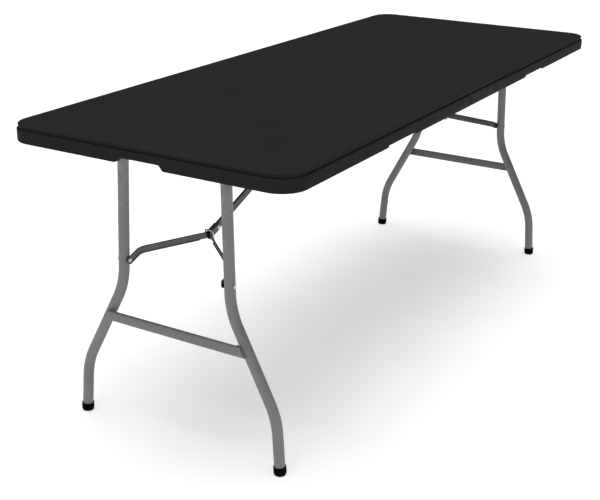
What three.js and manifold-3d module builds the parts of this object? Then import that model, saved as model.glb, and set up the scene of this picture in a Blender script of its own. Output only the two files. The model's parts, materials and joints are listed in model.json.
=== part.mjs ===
// A fold-in-half table: two blow-moulded half tops on steel side rails, hinged across the
// middle, each with a wishbone leg set that folds inwards on a Y brace, a centre link and a
// sliding lock ring.
//
// Millimetres, +Z up. The origin is on the floor under the middle of the table, +X runs along
// the length and +Y across it. Each half is drawn once in a half frame, with the seam at x = 0
// and the table's end at +x, and half "a" is that drawing turned 180 degrees about Z.

import * as THREE from 'three';
import { mergeVertices } from 'three/addons/utils/BufferGeometryUtils.js';
import Module from 'manifold-3d';

// ---------------------------------------------------------------- driving dimensions

// Whole table
const TABLE_LENGTH = 1829;
const TABLE_WIDTH = 737;
const TABLE_HEIGHT = 737;
const SEAM_GAP = 0.6;
const GAP = 0.3; // between touching pieces
const RUNNING_GAP = 0.4; // round a pin or a rod that turns

// Half top
const APRON_DEPTH = 40;
const APRON_WALL = 18;
const PLATE_THICKNESS = 12;
const CORNER_RADIUS = 60;
const SHOULDER_HEIGHT = 11.5;
const SHOULDER_INSET = 3;
const TOP_EDGE_CHAMFER = 1.5;
const SEAM_RIB = 12;
const END_NOTCH_WIDTH = 100;
const END_NOTCH_DEPTH = 12;
const END_NOTCH_FLARE = 14;
const SIDE_NOTCH_CENTRE = 430;
const SIDE_NOTCH_WIDTH = 140;
const SIDE_NOTCH_DEPTH = 4.5;
const SIDE_NOTCH_FLARE = 5;

// Side rails
const RAIL_CENTRE_INSET = 43.5; // from the table's long edge
const RAIL_WIDTH = 20;
const RAIL_HEIGHT = 22;
const RAIL_WALL = 1.5;
const RAIL_SEAM_END = 14;
const RAIL_OUTER_MARGIN = 74; // from the table's end
const SCREW_MARGIN = 110; // from each end of a rail
const SCREW_HEAD_RADIUS = 5;
const SCREW_HEAD_HEIGHT = 3;
const SCREW_SHANK_RADIUS = 2;
const SCREW_LENGTH = 10;
const SCREW_FACE_SHARE = 0.7; // flat face of a screw head, of its radius

// Centre hinge
const HINGE_DROP = 7; // pin axis below the apron
const HINGE_PIN_RADIUS = 3;
const HINGE_PIN_OVERHANG = 2;
const HINGE_PIN_HEAD_RADIUS = 5;
const HINGE_EAR_RADIUS = 6.5;
const LEAF_THICKNESS = 3;
const LEAF_LENGTH = 95;
const LEAF_MARGIN = 3; // leaf inside the rail's height, at top and bottom
const LEAF_SEAM_SETBACK = 2;
const HINGE_SLOT_MARGIN = 8;

// Leg set
const TUBE_RADIUS = 12.7;
const TUBE_WALL = 1.2;
const PIVOT_INSET = 119; // leg pivot, from the table's end
const FOOT_INSET = 110.5; // foot, from the table's end
const PIVOT_CLEARANCE = 0.5; // leg top tube under the plate
const PIVOT_STUB_RADIUS = 6;
const PIVOT_TUBE_END = 6; // top tube short of the rail
const PIVOT_TAPER = 8;
const LEG_TOP_Y = 135.5; // leg centre line from the table's centre line
const UPPER_SPLAY = 0.035; // sideways per unit of drop
const MIDDLE_SPLAY = 0.525;
const LOWER_SPLAY = 0.08;
const UPPER_BEND_HEIGHT = 366;
const LOWER_BEND_HEIGHT = 136;
const BEND_RADIUS = 190;
const CROSSBAR_HEIGHT = 283.5; // its centre above the floor
const CROSSBAR_DEPTH = 24.4;
const CROSSBAR_THICKNESS = 9;
const CROSSBAR_CORNER = 3.5;
const CAP_WALL = 2.2;
const CAP_HEIGHT = 21;
const CAP_SOLE = 4;
const CAP_EDGE = 3;

// Y brace, link and lock ring
const BRACE_PIVOT_HEIGHT = 426;
const BRACE_ANGLE = THREE.MathUtils.degToRad(19.7); // of the open brace, up from level
const SPACER_THICKNESS = 2;
const SPACER_RADIUS = 8;
const ARM_HEIGHT = 18;
const ARM_SHEET = 1.8;
const ARM_FLANGE = 4; // channel depth, sheet included
const ARM_BEND_START = 40; // from the leg rivet
const ARM_BEND_RADIUS = 26;
const HUB_BEND_RADIUS = 8;
const HUB_TO_RIVET = 34; // straight cheeks, from the bend to the hub rivet
const FLANGE_STOP = 14; // flange ends short of the hub bend
const CHEEK_HEIGHT = 17;
const LINK_WIDTH = 7;
const LINK_HEIGHT = 17;
const LINK_WALL = 1.4;
const LINK_SIDE_GAP = 0.5; // between the link and each cheek
const LINK_TAIL = 30; // steel past the hub rivet
const LINK_TIP_LENGTH = 6;
const LINK_TIP_PLUG = 12;
const ROD_INSET = 64; // link rod, from the seam
const ROD_DROP = 17; // rod axis under the plate
const ROD_RADIUS = 4;
const ROD_OVERHANG = 1.5;
const RIVET_SHANK_RADIUS = 3;
const RIVET_HEAD_RADIUS = 5.5;
const RIVET_HEAD_HEIGHT = 1.6;
const DOME_RADIUS_SHARE = 0.8; // where a rivet head's dome flattens
const DOME_HEIGHT_SHARE = 0.7;
const RING_WIRE_RADIUS = 1.8;
const RING_INNER_HALF_HEIGHT = 12;
const RING_SIDE_GAP = 0.6; // past the hub rivet's heads
const RING_CORNER = 5;
const RING_FROM_RIVET = 30;

// Facets
const ROUND_SEGMENTS = 16;
const SMALL_SEGMENTS = 10;
const CAP_SEGMENTS = 20;
const CURVE_SEGMENTS = 6; // in each arc of an extruded outline
const ARM_BEND_STEPS = 5;
const LEG_BEND_STEPS = 6;
const RING_STEPS = 28;

// ---------------------------------------------------------------- derived places

const PLATE_UNDERSIDE = TABLE_HEIGHT - PLATE_THICKNESS;
const APRON_BOTTOM = TABLE_HEIGHT - APRON_DEPTH;
const HALF_LENGTH = TABLE_LENGTH / 2;
const HALF_WIDTH = TABLE_WIDTH / 2;

const RAIL_Y = HALF_WIDTH - RAIL_CENTRE_INSET;
const RAIL_TOP = PLATE_UNDERSIDE - GAP;
const RAIL_BOTTOM = RAIL_TOP - RAIL_HEIGHT;
const RAIL_INNER_Y = RAIL_Y - RAIL_WIDTH / 2;
const RAIL_OUTER_Y = RAIL_Y + RAIL_WIDTH / 2;
const RAIL_END = HALF_LENGTH - RAIL_OUTER_MARGIN;

const PIVOT_X = HALF_LENGTH - PIVOT_INSET;
const PIVOT_Z = PLATE_UNDERSIDE - PIVOT_CLEARANCE - TUBE_RADIUS;
const FOOT_X = HALF_LENGTH - FOOT_INSET;
const LEG_TILT = Math.atan2(FOOT_X - PIVOT_X, PIVOT_Z);
const LEG_DROP = Math.hypot(FOOT_X - PIVOT_X, PIVOT_Z); // pivot to floor, along the leg plane

const BRACE_PIVOT_X = PIVOT_X + Math.tan(LEG_TILT) * (PIVOT_Z - BRACE_PIVOT_HEIGHT);
const BRACE_PIVOT_DROP = Math.hypot(BRACE_PIVOT_X - PIVOT_X, PIVOT_Z - BRACE_PIVOT_HEIGHT);
const ROD_Z = PLATE_UNDERSIDE - ROD_DROP;

// The leg rivet swings a quarter turn up to here when the legs fold.
const FOLDED_RIVET_X = PIVOT_X - (PIVOT_Z - BRACE_PIVOT_HEIGHT);

// The hub lies flat between the folded leg rivet and the end when
// link length - brace length = distance from the rod to the folded leg rivet.
const ROD_TO_FOLDED_RIVET = FOLDED_RIVET_X - ROD_INSET;
const OPEN_REACH_X = BRACE_PIVOT_X - ROD_INSET;
const OPEN_REACH_Z = ROD_Z - BRACE_PIVOT_HEIGHT;
const REACH_ALONG_BRACE = OPEN_REACH_X * Math.cos(BRACE_ANGLE) + OPEN_REACH_Z * Math.sin(BRACE_ANGLE);
const BRACE_LENGTH =
  (OPEN_REACH_X ** 2 + OPEN_REACH_Z ** 2 - ROD_TO_FOLDED_RIVET ** 2) /
  (2 * (ROD_TO_FOLDED_RIVET + REACH_ALONG_BRACE));
const HUB_X = BRACE_PIVOT_X - BRACE_LENGTH * Math.cos(BRACE_ANGLE);
const HUB_Z = BRACE_PIVOT_HEIGHT + BRACE_LENGTH * Math.sin(BRACE_ANGLE);
const LINK_LENGTH = Math.hypot(HUB_X - ROD_INSET, ROD_Z - HUB_Z);
const LINK_ANGLE = Math.atan2(ROD_Z - HUB_Z, HUB_X - ROD_INSET);

const CHEEK_INNER_Y = LINK_WIDTH / 2 + LINK_SIDE_GAP;
const CHEEK_OUTER_Y = CHEEK_INNER_Y + ARM_SHEET;
const LEG_RIVET_Y = legY(BRACE_PIVOT_HEIGHT);
const TUBE_SLANT_GAP = UPPER_SPLAY * SPACER_RADIUS; // the splayed tube comes this much nearer
const ARM_OUTER_Y = LEG_RIVET_Y - TUBE_RADIUS - TUBE_SLANT_GAP - SPACER_THICKNESS - 2 * GAP;

// ---------------------------------------------------------------- materials

const blackPlastic = new THREE.MeshStandardMaterial({ color: 0x1c1c1d, roughness: 0.55, metalness: 0 });
const greyPaint = new THREE.MeshStandardMaterial({ color: 0x77787a, roughness: 0.42, metalness: 0.1 });
const darkPaint = new THREE.MeshStandardMaterial({ color: 0x55575a, roughness: 0.45, metalness: 0.1 });
const zinc = new THREE.MeshStandardMaterial({ color: 0xb9bcc0, roughness: 0.3, metalness: 0.9 });
const rubber = new THREE.MeshStandardMaterial({ color: 0x0c0c0d, roughness: 0.7, metalness: 0 });

// ---------------------------------------------------------------- solids

const wasm = await Module();
wasm.setup();

function solid(geometry) {
  const bare = geometry.clone();
  bare.deleteAttribute('normal');
  bare.deleteAttribute('uv');
  const merged = mergeVertices(bare, 1e-4);
  return new wasm.Manifold(new wasm.Mesh({
    numProp: 3,
    vertProperties: new Float32Array(merged.attributes.position.array),
    triVerts: new Uint32Array(merged.index.array),
  }));
}

function geometryOf(body) {
  const { vertProperties, triVerts } = body.getMesh();
  const geometry = new THREE.BufferGeometry();
  geometry.setAttribute('position', new THREE.BufferAttribute(new Float32Array(vertProperties), 3));
  geometry.setIndex(new THREE.BufferAttribute(new Uint32Array(triVerts), 1));
  geometry.computeVertexNormals();
  return geometry;
}

function join(...geometries) {
  return geometryOf(geometries.map(solid).reduce((sum, next) => sum.add(next)));
}

function cut(geometry, ...tools) {
  return geometryOf(tools.map(solid).reduce((rest, tool) => rest.subtract(tool), solid(geometry)));
}

function common(geometry, other) {
  return geometryOf(solid(geometry).intersect(solid(other)));
}

function box(low, high) {
  const size = high.map((value, axis) => value - low[axis]);
  const centre = high.map((value, axis) => (value + low[axis]) / 2);
  return new THREE.BoxGeometry(...size).translate(...centre);
}

// A round bar along Y, from y = start to y = end.
function barAlongY(radius, start, end, segments = SMALL_SEGMENTS) {
  const bar = new THREE.CylinderGeometry(radius, radius, end - start, segments);
  return bar.translate(0, (start + end) / 2, 0);
}

// A turned piece about Y from [radius, y] pairs that start and end on the axis.
function turnedAlongY(profile, segments = SMALL_SEGMENTS) {
  return new THREE.LatheGeometry(profile.map(([radius, y]) => new THREE.Vector2(radius, y)), segments);
}

// A side view drawn in X and Z, given thickness from y = start to y = end.
function plateAcrossY(shape, start, end) {
  const options = { depth: end - start, bevelEnabled: false, curveSegments: CURVE_SEGMENTS };
  const plate = new THREE.ExtrudeGeometry(shape, options);
  return plate.rotateX(Math.PI / 2).translate(0, end, 0);
}

// A plan view drawn in X and Y, given height from z = bottom to z = top.
function slab(shape, bottom, top) {
  const options = { depth: top - bottom, bevelEnabled: false, curveSegments: CURVE_SEGMENTS };
  return new THREE.ExtrudeGeometry(shape, options).translate(0, 0, bottom);
}

function polygon(points) {
  return new THREE.Shape(points.map(([x, y]) => new THREE.Vector2(x, y)));
}

function roundedRectangle(halfWidth, halfHeight, radius) {
  const shape = new THREE.Shape();
  shape.absarc(halfWidth - radius, halfHeight - radius, radius, 0, Math.PI / 2, false);
  shape.absarc(-halfWidth + radius, halfHeight - radius, radius, Math.PI / 2, Math.PI, false);
  shape.absarc(-halfWidth + radius, -halfHeight + radius, radius, Math.PI, 1.5 * Math.PI, false);
  shape.absarc(halfWidth - radius, -halfHeight + radius, radius, 1.5 * Math.PI, 2 * Math.PI, false);
  shape.closePath();
  return shape;
}

// ---------------------------------------------------------------- bent centre lines

// The corners of a polyline replaced with arcs, as a list of points in a plane.
function filleted(points, radii, arcSteps) {
  const route = [points[0]];
  for (let i = 1; i < points.length - 1; i += 1) {
    const corner = points[i];
    const back = points[i - 1].clone().sub(corner).normalize();
    const ahead = points[i + 1].clone().sub(corner).normalize();
    const halfAngle = Math.acos(back.dot(ahead)) / 2;
    const reach = radii[i - 1] / Math.tan(halfAngle);
    const start = corner.clone().addScaledVector(back, reach);
    const end = corner.clone().addScaledVector(ahead, reach);
    const toCentre = back.clone().add(ahead).normalize();
    const centre = corner.clone().addScaledVector(toCentre, radii[i - 1] / Math.sin(halfAngle));
    const first = Math.atan2(start.y - centre.y, start.x - centre.x);
    let sweep = Math.atan2(end.y - centre.y, end.x - centre.x) - first;
    sweep = Math.atan2(Math.sin(sweep), Math.cos(sweep));
    for (let step = 0; step <= arcSteps; step += 1) {
      const angle = first + (sweep * step) / arcSteps;
      const offset = new THREE.Vector2(Math.cos(angle), Math.sin(angle)).multiplyScalar(radii[i - 1]);
      route.push(centre.clone().add(offset));
    }
  }
  route.push(points[points.length - 1]);
  return route;
}

// The outline of a bent strip: the route moved sideways by "near" and back by "far".
function stripShape(route, near, far) {
  const side = (index, offset) => {
    const before = route[Math.max(index - 1, 0)];
    const after = route[Math.min(index + 1, route.length - 1)];
    const along = after.clone().sub(before).normalize();
    return route[index].clone().add(new THREE.Vector2(-along.y, along.x).multiplyScalar(offset));
  };
  const indices = route.map((_, index) => index);
  const outline = indices.map((index) => side(index, near));
  outline.push(...indices.reverse().map((index) => side(index, far)));
  return new THREE.Shape(outline);
}

// Half the spacing of a leg set's two centre lines at a height above the floor.
function legY(height) {
  const upperDrop = PIVOT_Z - Math.max(height, UPPER_BEND_HEIGHT);
  const middleDrop = Math.max(UPPER_BEND_HEIGHT - Math.max(height, LOWER_BEND_HEIGHT), 0);
  const lowerDrop = Math.max(LOWER_BEND_HEIGHT - height, 0);
  return LEG_TOP_Y + UPPER_SPLAY * upperDrop + MIDDLE_SPLAY * middleDrop + LOWER_SPLAY * lowerDrop;
}

// ---------------------------------------------------------------- half top

// The plan outline of a half top, drawn in by "inset" from the real edges.
function halfOutline(inset, seamEdge) {
  const end = HALF_LENGTH - inset;
  const side = HALF_WIDTH - inset;
  const radius = CORNER_RADIUS - inset;
  const shape = new THREE.Shape();
  shape.moveTo(seamEdge, side);
  shape.lineTo(seamEdge, -side);
  shape.absarc(end - radius, -side + radius, radius, -Math.PI / 2, 0, false);
  shape.absarc(end - radius, side - radius, radius, 0, Math.PI / 2, false);
  shape.closePath();
  return shape;
}

function endNotch() {
  const half = END_NOTCH_WIDTH / 2;
  const notch = polygon([
    [-half - END_NOTCH_FLARE, APRON_BOTTOM - 1],
    [half + END_NOTCH_FLARE, APRON_BOTTOM - 1],
    [half, APRON_BOTTOM + END_NOTCH_DEPTH],
    [-half, APRON_BOTTOM + END_NOTCH_DEPTH],
  ]);
  const start = HALF_LENGTH - APRON_WALL - 1;
  return plateAcrossY(notch, start, HALF_LENGTH + 1).rotateZ(-Math.PI / 2);
}

function sideNotch(side) {
  const half = SIDE_NOTCH_WIDTH / 2;
  const notch = polygon([
    [SIDE_NOTCH_CENTRE - half - SIDE_NOTCH_FLARE, APRON_BOTTOM - 1],
    [SIDE_NOTCH_CENTRE + half + SIDE_NOTCH_FLARE, APRON_BOTTOM - 1],
    [SIDE_NOTCH_CENTRE + half, APRON_BOTTOM + SIDE_NOTCH_DEPTH],
    [SIDE_NOTCH_CENTRE - half, APRON_BOTTOM + SIDE_NOTCH_DEPTH],
  ]);
  const middle = side * (HALF_WIDTH - APRON_WALL / 2);
  const reach = APRON_WALL / 2 + 1;
  return plateAcrossY(notch, middle - reach, middle + reach);
}

// A passage through the seam rib for both hinge leaves of one side.
function hingeSlot(side) {
  const inner = RAIL_INNER_Y - LEAF_THICKNESS - HINGE_SLOT_MARGIN;
  const outer = RAIL_OUTER_Y + LEAF_THICKNESS + HINGE_SLOT_MARGIN;
  const low = Math.min(side * inner, side * outer);
  const high = Math.max(side * inner, side * outer);
  return box([-1, low, APRON_BOTTOM - 1], [SEAM_RIB + 1, high, PLATE_UNDERSIDE]);
}

function halfTop() {
  const seam = SEAM_GAP / 2;
  const shoulder = TABLE_HEIGHT - SHOULDER_HEIGHT;
  const chamferStart = TABLE_HEIGHT - TOP_EDGE_CHAMFER;
  const skirt = slab(halfOutline(0, seam), APRON_BOTTOM, shoulder);
  const body = slab(halfOutline(SHOULDER_INSET, seam), shoulder - 1, chamferStart);
  const crown = slab(halfOutline(SHOULDER_INSET + TOP_EDGE_CHAMFER, seam), chamferStart - 1, TABLE_HEIGHT);
  const recess = slab(halfOutline(APRON_WALL, SEAM_RIB), APRON_BOTTOM - 1, PLATE_UNDERSIDE);
  const notches = [endNotch(), sideNotch(1), sideNotch(-1), hingeSlot(1), hingeSlot(-1)];
  return cut(join(skirt, body, crown), recess, ...notches);
}

// ---------------------------------------------------------------- rails and centre hinge

// A channel that opens downwards, drilled for the leg pivot, the link rod and two screws.
function rail(side) {
  const low = [RAIL_SEAM_END, side * RAIL_Y - RAIL_WIDTH / 2, RAIL_BOTTOM];
  const high = [RAIL_END, side * RAIL_Y + RAIL_WIDTH / 2, RAIL_TOP];
  const hollow = box(
    [low[0] - 1, low[1] + RAIL_WALL, low[2] - 1],
    [high[0] + 1, high[1] - RAIL_WALL, high[2] - RAIL_WALL],
  );
  const across = [side * RAIL_Y - RAIL_WIDTH, side * RAIL_Y + RAIL_WIDTH];
  const pivotHole = barAlongY(PIVOT_STUB_RADIUS + RUNNING_GAP, ...across).translate(PIVOT_X, 0, PIVOT_Z);
  const rodHole = barAlongY(ROD_RADIUS + GAP, ...across).translate(ROD_INSET, 0, ROD_Z);
  const screwHoles = screwPlaces().map((x) => {
    const hole = barAlongY(SCREW_SHANK_RADIUS + GAP, -RAIL_WALL - 1, RAIL_WALL + 1).rotateX(Math.PI / 2);
    return hole.translate(x, side * RAIL_Y, RAIL_TOP);
  });
  return cut(box(low, high), hollow, pivotHole, rodHole, ...screwHoles);
}

function screwPlaces() {
  return [RAIL_SEAM_END + SCREW_MARGIN, RAIL_END - SCREW_MARGIN];
}

// A pan-head screw that points up, with its head inside the rail.
function railScrew() {
  const headTop = RAIL_TOP - RAIL_WALL - GAP;
  return turnedAlongY([
    [0, headTop - SCREW_HEAD_HEIGHT],
    [SCREW_HEAD_RADIUS * SCREW_FACE_SHARE, headTop - SCREW_HEAD_HEIGHT],
    [SCREW_HEAD_RADIUS, headTop - SCREW_HEAD_HEIGHT / 2],
    [SCREW_HEAD_RADIUS, headTop],
    [SCREW_SHANK_RADIUS, headTop],
    [SCREW_SHANK_RADIUS, headTop + SCREW_LENGTH - SCREW_SHANK_RADIUS],
    [0, headTop + SCREW_LENGTH],
  ]).rotateX(Math.PI / 2);
}

// The blind hole in the plate that a rail screw bites into.
function screwPocket() {
  const depth = RAIL_TOP - RAIL_WALL - GAP + SCREW_LENGTH + GAP;
  return barAlongY(SCREW_SHANK_RADIUS + GAP, PLATE_UNDERSIDE - 1, depth).rotateX(Math.PI / 2);
}

// One hinge leaf: a strap along the rail with an ear that drops to the pin.
// Of each side's two leaves, one lies inside its rail and the other outside.
function hingeLeaf(side) {
  const pinZ = APRON_BOTTOM - HINGE_DROP;
  const bottom = RAIL_BOTTOM + LEAF_MARGIN;
  const top = RAIL_TOP - LEAF_MARGIN;
  const start = LEAF_SEAM_SETBACK;
  const strap = polygon([
    [start, pinZ],
    [HINGE_EAR_RADIUS, pinZ - HINGE_EAR_RADIUS / 2],
    [3 * HINGE_EAR_RADIUS, bottom],
    [LEAF_LENGTH - LEAF_MARGIN, bottom],
    [LEAF_LENGTH, bottom + LEAF_MARGIN],
    [LEAF_LENGTH, top - LEAF_MARGIN],
    [LEAF_LENGTH - LEAF_MARGIN, top],
    [start, top],
  ]);
  const near = side > 0 ? RAIL_INNER_Y - GAP - LEAF_THICKNESS : -RAIL_OUTER_Y - GAP - LEAF_THICKNESS;
  const span = [near, near + LEAF_THICKNESS];
  const ear = barAlongY(HINGE_EAR_RADIUS, ...span, ROUND_SEGMENTS).translate(0, 0, pinZ);
  const wide = [span[0] - 1, span[1] + 1];
  const pinHole = barAlongY(HINGE_PIN_RADIUS + RUNNING_GAP, ...wide, ROUND_SEGMENTS).translate(0, 0, pinZ);
  const rodHole = barAlongY(ROD_RADIUS + RUNNING_GAP, ...wide).translate(ROD_INSET, 0, ROD_Z);
  return cut(join(plateAcrossY(strap, ...span), ear), pinHole, rodHole);
}

// A headed pin through both leaves of one side, under the rails.
function hingePin() {
  const reach = RAIL_WIDTH / 2 + LEAF_THICKNESS + 2 * GAP;
  return turnedAlongY([
    [0, -reach - HINGE_PIN_OVERHANG],
    [HINGE_PIN_HEAD_RADIUS, -reach - HINGE_PIN_OVERHANG],
    [HINGE_PIN_HEAD_RADIUS, -reach],
    [HINGE_PIN_RADIUS, -reach],
    [HINGE_PIN_RADIUS, reach + HINGE_PIN_OVERHANG],
    [0, reach + HINGE_PIN_OVERHANG],
  ], ROUND_SEGMENTS);
}

// The rod that the centre link swings on, across both rails.
function linkRod() {
  const reach = RAIL_OUTER_Y + ROD_OVERHANG;
  return barAlongY(ROD_RADIUS, -reach, reach);
}

// ---------------------------------------------------------------- leg set
// Drawn in the leg frame: the origin is the pivot, the leg plane is x = 0 and +x faces out.

// The cross tube, hollow, with swaged ends that turn in the rails.
function topTube() {
  const stubEnd = RAIL_OUTER_Y + ROD_OVERHANG;
  const tubeEnd = RAIL_INNER_Y - PIVOT_TUBE_END;
  const taperEnd = tubeEnd - PIVOT_TAPER;
  const bore = TUBE_RADIUS - TUBE_WALL;
  const stubBore = PIVOT_STUB_RADIUS - TUBE_WALL;
  const outer = [
    [PIVOT_STUB_RADIUS, -stubEnd],
    [PIVOT_STUB_RADIUS, -tubeEnd],
    [TUBE_RADIUS, -taperEnd],
    [TUBE_RADIUS, taperEnd],
    [PIVOT_STUB_RADIUS, tubeEnd],
    [PIVOT_STUB_RADIUS, stubEnd],
  ];
  const inner = [
    [stubBore, stubEnd],
    [stubBore, tubeEnd - TUBE_WALL],
    [bore, taperEnd - TUBE_WALL],
    [bore, -taperEnd + TUBE_WALL],
    [stubBore, -tubeEnd + TUBE_WALL],
    [stubBore, -stubEnd],
    [PIVOT_STUB_RADIUS, -stubEnd],
  ];
  return turnedAlongY([...outer, ...inner], ROUND_SEGMENTS);
}

// The leg's centre line in its plane, as drop-and-side points from the pivot to the floor.
function legCorners() {
  return [PIVOT_Z, UPPER_BEND_HEIGHT, LOWER_BEND_HEIGHT, 0].map((height) => (
    new THREE.Vector2(legY(height), (height - PIVOT_Z) * (LEG_DROP / PIVOT_Z))
  ));
}

// A leg's centre line. Equal steps of its parameter fall on the route's own points, so the
// straight stretches take one step each.
class LegCurve extends THREE.Curve {
  constructor(side, shortBy) {
    super();
    const corners = legCorners();
    const last = corners[3].clone().sub(corners[2]).normalize();
    corners[3].addScaledVector(last, -shortBy);
    const route = filleted(corners, [BEND_RADIUS, BEND_RADIUS], LEG_BEND_STEPS);
    this.points = route.map((point) => new THREE.Vector3(0, side * point.x, point.y));
  }

  get steps() {
    return this.points.length - 1;
  }

  getPoint(t, target = new THREE.Vector3()) {
    const place = THREE.MathUtils.clamp(t, 0, 1) * this.steps;
    const first = Math.min(Math.floor(place), this.steps - 1);
    return target.lerpVectors(this.points[first], this.points[first + 1], place - first);
  }

  getUtoTmapping(u) {
    return u;
  }
}

// A bent hollow tube, coped to the cross tube at its top.
function legTube(side) {
  const section = new THREE.Shape().absarc(0, 0, TUBE_RADIUS, 0, 2 * Math.PI, false);
  section.holes.push(new THREE.Path().absarc(0, 0, TUBE_RADIUS - TUBE_WALL, 0, 2 * Math.PI, true));
  const route = new LegCurve(side, CAP_SOLE);
  const options = { steps: route.steps, curveSegments: CURVE_SEGMENTS, extrudePath: route };
  const tube = new THREE.ExtrudeGeometry(section, options);
  const reach = 3 * TUBE_RADIUS;
  const across = [side * LEG_TOP_Y - reach, side * LEG_TOP_Y + reach];
  const coping = barAlongY(TUBE_RADIUS + GAP, ...across, ROUND_SEGMENTS);
  const above = box([-reach, across[0], 0], [reach, across[1], reach]);
  const rivetSpan = [side * LEG_RIVET_Y - reach, side * LEG_RIVET_Y + reach];
  const rivetHole = barAlongY(RIVET_SHANK_RADIUS + GAP, ...rivetSpan).translate(0, 0, -BRACE_PIVOT_DROP);
  return cut(tube, coping, above, rivetHole);
}

// A flattened tube welded across the outer faces of the legs, its ends cut along them.
function crossbar() {
  const drop = (PIVOT_Z - CROSSBAR_HEIGHT) * (LEG_DROP / PIVOT_Z);
  const halfDepth = CROSSBAR_DEPTH / 2;
  const near = TUBE_RADIUS + GAP;
  const section = roundedRectangle(CROSSBAR_THICKNESS / 2, halfDepth, CROSSBAR_CORNER);
  section.holes.push(roundedRectangle(
    CROSSBAR_THICKNESS / 2 - TUBE_WALL,
    halfDepth - TUBE_WALL,
    CROSSBAR_CORNER - TUBE_WALL,
  ));
  const half = legY(CROSSBAR_HEIGHT - halfDepth) + TUBE_RADIUS;
  const options = { depth: 2 * half, bevelEnabled: false, curveSegments: CURVE_SEGMENTS / 2 };
  const bar = new THREE.ExtrudeGeometry(section, options);
  bar.rotateX(Math.PI / 2).translate(near + CROSSBAR_THICKNESS / 2, half, -drop);
  const keep = polygon([
    [-legY(CROSSBAR_HEIGHT + halfDepth), -drop + halfDepth],
    [legY(CROSSBAR_HEIGHT + halfDepth), -drop + halfDepth],
    [legY(CROSSBAR_HEIGHT - halfDepth), -drop - halfDepth],
    [-legY(CROSSBAR_HEIGHT - halfDepth), -drop - halfDepth],
  ]);
  const window = plateAcrossY(keep, -2 * near - CROSSBAR_THICKNESS, 0).rotateZ(Math.PI / 2);
  return common(bar, window);
}

// A moulded cup over the tube's end, drawn along the tube and trimmed level with the floor.
function footCap(side) {
  const corners = legCorners();
  const along = corners[3].clone().sub(corners[2]).normalize();
  const outer = TUBE_RADIUS + CAP_WALL;
  const bore = TUBE_RADIUS + GAP;
  const cup = turnedAlongY([
    [0, -2 * CAP_SOLE],
    [outer - CAP_EDGE, -2 * CAP_SOLE],
    [outer - CAP_EDGE / 2, 0],
    [outer, CAP_EDGE],
    [outer, CAP_HEIGHT - 1],
    [outer - 1, CAP_HEIGHT],
    [bore, CAP_HEIGHT],
    [bore, CAP_SOLE - GAP],
    [0, CAP_SOLE - GAP],
  ], CAP_SEGMENTS);
  cup.rotateX(Math.PI / 2).rotateX(Math.atan2(along.x, -along.y) * side);
  return cup.translate(0, side * corners[3].x, corners[3].y);
}

// Through the tube and the spacer, with its head on the tube's outer side.
function legRivet(side) {
  const headFace = LEG_RIVET_Y + TUBE_RADIUS + GAP;
  const rivet = turnedAlongY([
    [0, ARM_OUTER_Y + GAP],
    [RIVET_SHANK_RADIUS, ARM_OUTER_Y + GAP],
    [RIVET_SHANK_RADIUS, headFace],
    [RIVET_HEAD_RADIUS, headFace],
    [RIVET_HEAD_RADIUS * DOME_RADIUS_SHARE, headFace + RIVET_HEAD_HEIGHT * DOME_HEIGHT_SHARE],
    [0, headFace + RIVET_HEAD_HEIGHT],
  ]);
  return side > 0 ? rivet : rivet.rotateZ(Math.PI);
}

function spacer(side) {
  const start = ARM_OUTER_Y + GAP;
  const end = start + SPACER_THICKNESS;
  const bore = RIVET_SHANK_RADIUS + GAP;
  const ring = turnedAlongY([
    [bore, start],
    [SPACER_RADIUS, start],
    [SPACER_RADIUS, end],
    [bore, end],
    [bore, start],
  ], ROUND_SEGMENTS);
  return side > 0 ? ring : ring.rotateZ(Math.PI);
}

// ---------------------------------------------------------------- Y brace
// Drawn in the brace frame: the origin is on the leg rivets' axis, +x runs to the hub rivet.

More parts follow.
